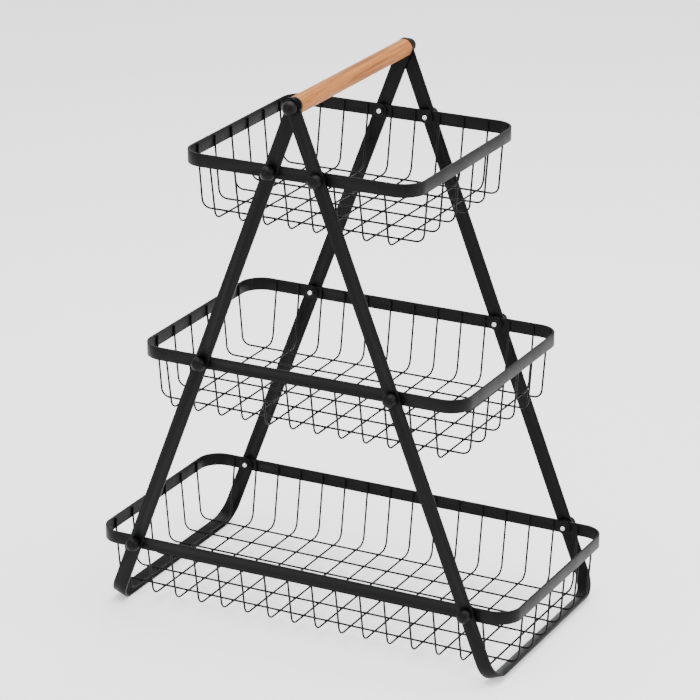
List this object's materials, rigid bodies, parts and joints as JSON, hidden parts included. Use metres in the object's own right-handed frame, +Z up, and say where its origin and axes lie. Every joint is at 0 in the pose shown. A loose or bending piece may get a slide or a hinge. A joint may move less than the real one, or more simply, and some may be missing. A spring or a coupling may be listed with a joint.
{
  "type": "tiered fruit basket stand",
  "caption": "Free-standing stand with two crossed leaning strip frames, tiered wire baskets that grow towards the base, ball-headed bolts and a round wooden carry grip on top.",
  "frame": {"origin": "centre of the bounding box on the floor plane that the foot runs stand on", "axes": "+Z up, +X along the length of the baskets, -Y towards the front"},
  "size_m": [0.4168, 0.2392, 0.5065],
  "materials": {
    "black_coat": "satin black powder coat on steel strip",
    "black_wire": "satin black powder coat on steel wire",
    "black_fastener": "semi-gloss black coated steel",
    "grip_wood": "smooth clear-sealed light hardwood",
    "zinc": "bright zinc plating"
  },
  "bodies": {
    "root": {"leg_frame_left": "black_coat", "leg_frame_right": "black_coat", "upper_rim": "black_coat", "upper_cross_wires": "black_wire", "upper_long_wires": "black_wire", "upper_weld_nuts": "black_fastener", "upper_ball_bolts": "black_fastener", "upper_spacers": "black_fastener", "middle_rim": "black_coat", "middle_cross_wires": "black_wire", "middle_long_wires": "black_wire", "middle_weld_nuts": "black_fastener", "middle_ball_bolts": "black_fastener", "middle_spacers": "black_fastener", "lower_rim": "black_coat", "lower_cross_wires": "black_wire", "lower_long_wires": "black_wire", "lower_weld_nuts": "black_fastener", "lower_ball_bolts": "black_fastener", "lower_spacers": "black_fastener", "handle_grip": "grip_wood", "handle_inserts": "zinc", "handle_ball_bolts": "black_fastener"}
  },
  "joints": []
}
